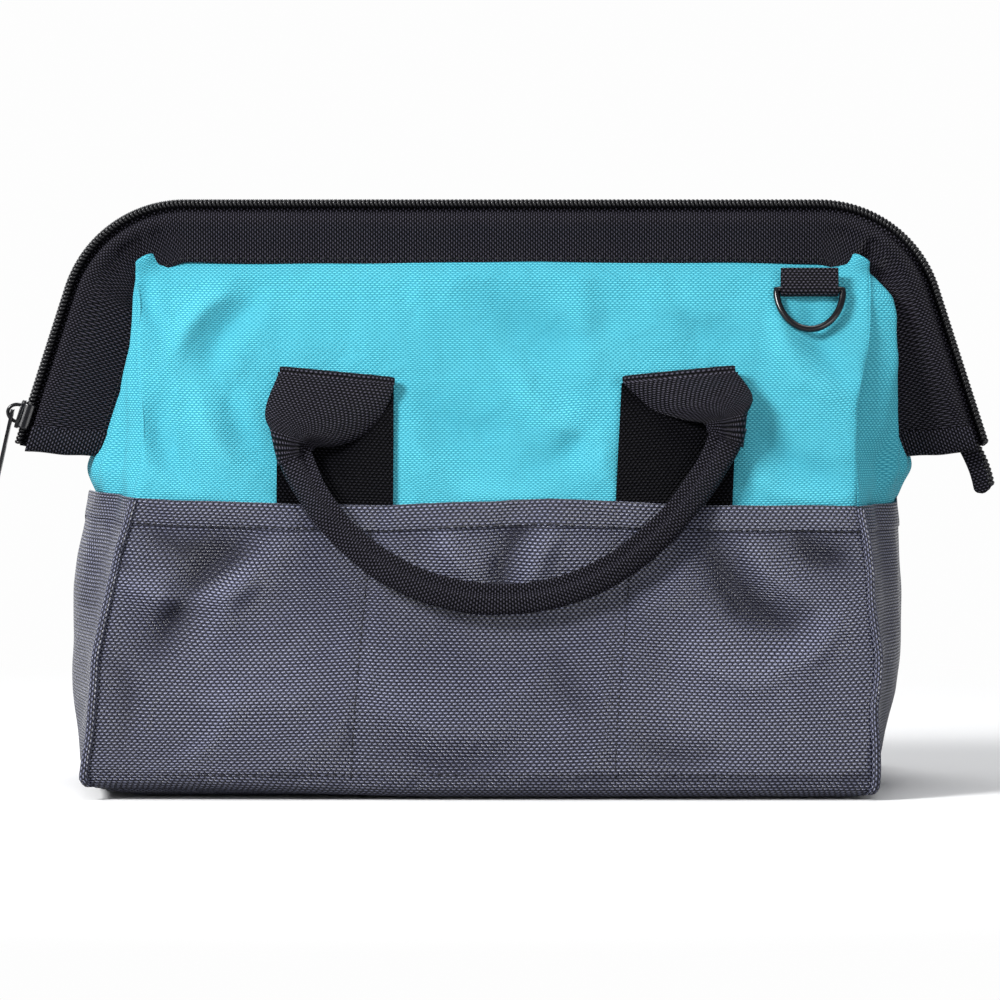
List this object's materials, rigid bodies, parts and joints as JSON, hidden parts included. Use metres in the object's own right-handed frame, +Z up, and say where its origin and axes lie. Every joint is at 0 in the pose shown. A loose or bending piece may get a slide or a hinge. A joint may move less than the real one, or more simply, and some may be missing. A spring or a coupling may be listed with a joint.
{
  "type": "tool bag",
  "caption": "Wide-mouth zippered tool bag in teal canvas and dark coated cloth, with hanging zip wings, folded webbing handles and a D-ring",
  "frame": {"origin": "the middle of the base, on the floor", "axes": "X runs along the bag to the viewer's right, Y to the back, Z up; the front with the D-ring faces -Y"},
  "size_m": [0.4394, 0.2006, 0.253],
  "materials": {
    "canvas": "fine canvas weave",
    "coated_cloth": "coarse coated weave with a soft sheen",
    "webbing": "ribbed webbing",
    "zip_coil": "moulded coil",
    "black_metal": "glossy black",
    "frame_steel": "drawn wire",
    "board": "plain sheet"
  },
  "bodies": {
    "bag": {"base_panel": "coated_cloth", "base_board": "board", "front_panel": "canvas", "back_panel": "canvas", "front_pocket_panel": "coated_cloth", "back_pocket_panel": "coated_cloth", "left_gusset_lower": "coated_cloth", "right_gusset_lower": "coated_cloth", "left_gusset_upper": "canvas", "right_gusset_upper": "canvas", "front_left_piping": "webbing", "front_right_piping": "webbing", "back_left_piping": "webbing", "back_right_piping": "webbing", "front_band": "webbing", "back_band": "webbing", "front_frame_wire": "frame_steel", "back_frame_wire": "frame_steel", "front_zip_tape": "webbing", "back_zip_tape": "webbing", "front_zip_chain": "zip_coil", "back_zip_chain": "zip_coil", "left_wing_binding": "webbing", "right_wing_binding": "webbing", "zip_tail": "webbing", "front_left_strap": "webbing", "front_right_strap": "webbing", "back_left_strap": "webbing", "back_right_strap": "webbing", "d_ring_loop": "webbing"},
    "front_handle": {"front_left_handle_flap": "webbing", "front_right_handle_flap": "webbing", "front_handle_grip": "webbing"},
    "back_handle": {"back_left_handle_flap": "webbing", "back_right_handle_flap": "webbing", "back_handle_grip": "webbing"},
    "slider": {"zip_slider": "black_metal"},
    "pull": {"pull_tab": "black_metal"},
    "ring": {"d_ring": "black_metal"}
  },
  "joints": [
    {"name": "front_handle_lift", "type": "hinge", "parent": "bag", "child": "front_handle", "pos_m": [0, -0.03743, 0.177], "axis": [-1, 0, 0], "range_deg": [0, 160]},
    {"name": "back_handle_lift", "type": "hinge", "parent": "bag", "child": "back_handle", "pos_m": [0, 0.03743, 0.177], "axis": [1, 0, 0], "range_deg": [0, 160]},
    {"name": "slider_travel", "type": "slide", "parent": "bag", "child": "slider", "axis": [0.3078, 0, 0.9514], "range_m": [-0.005, 0.045]},
    {"name": "pull_swing", "type": "hinge", "parent": "slider", "child": "pull", "pos_m": [-0.21257, 0, 0.16069], "axis": [0, 1, 0], "range_deg": [-0.5, 140]},
    {"name": "ring_swing", "type": "hinge", "parent": "bag", "child": "ring", "pos_m": [0.133, -0.01783, 0.214], "axis": [-1, 0, 0], "range_deg": [0, 130]}
  ]
}
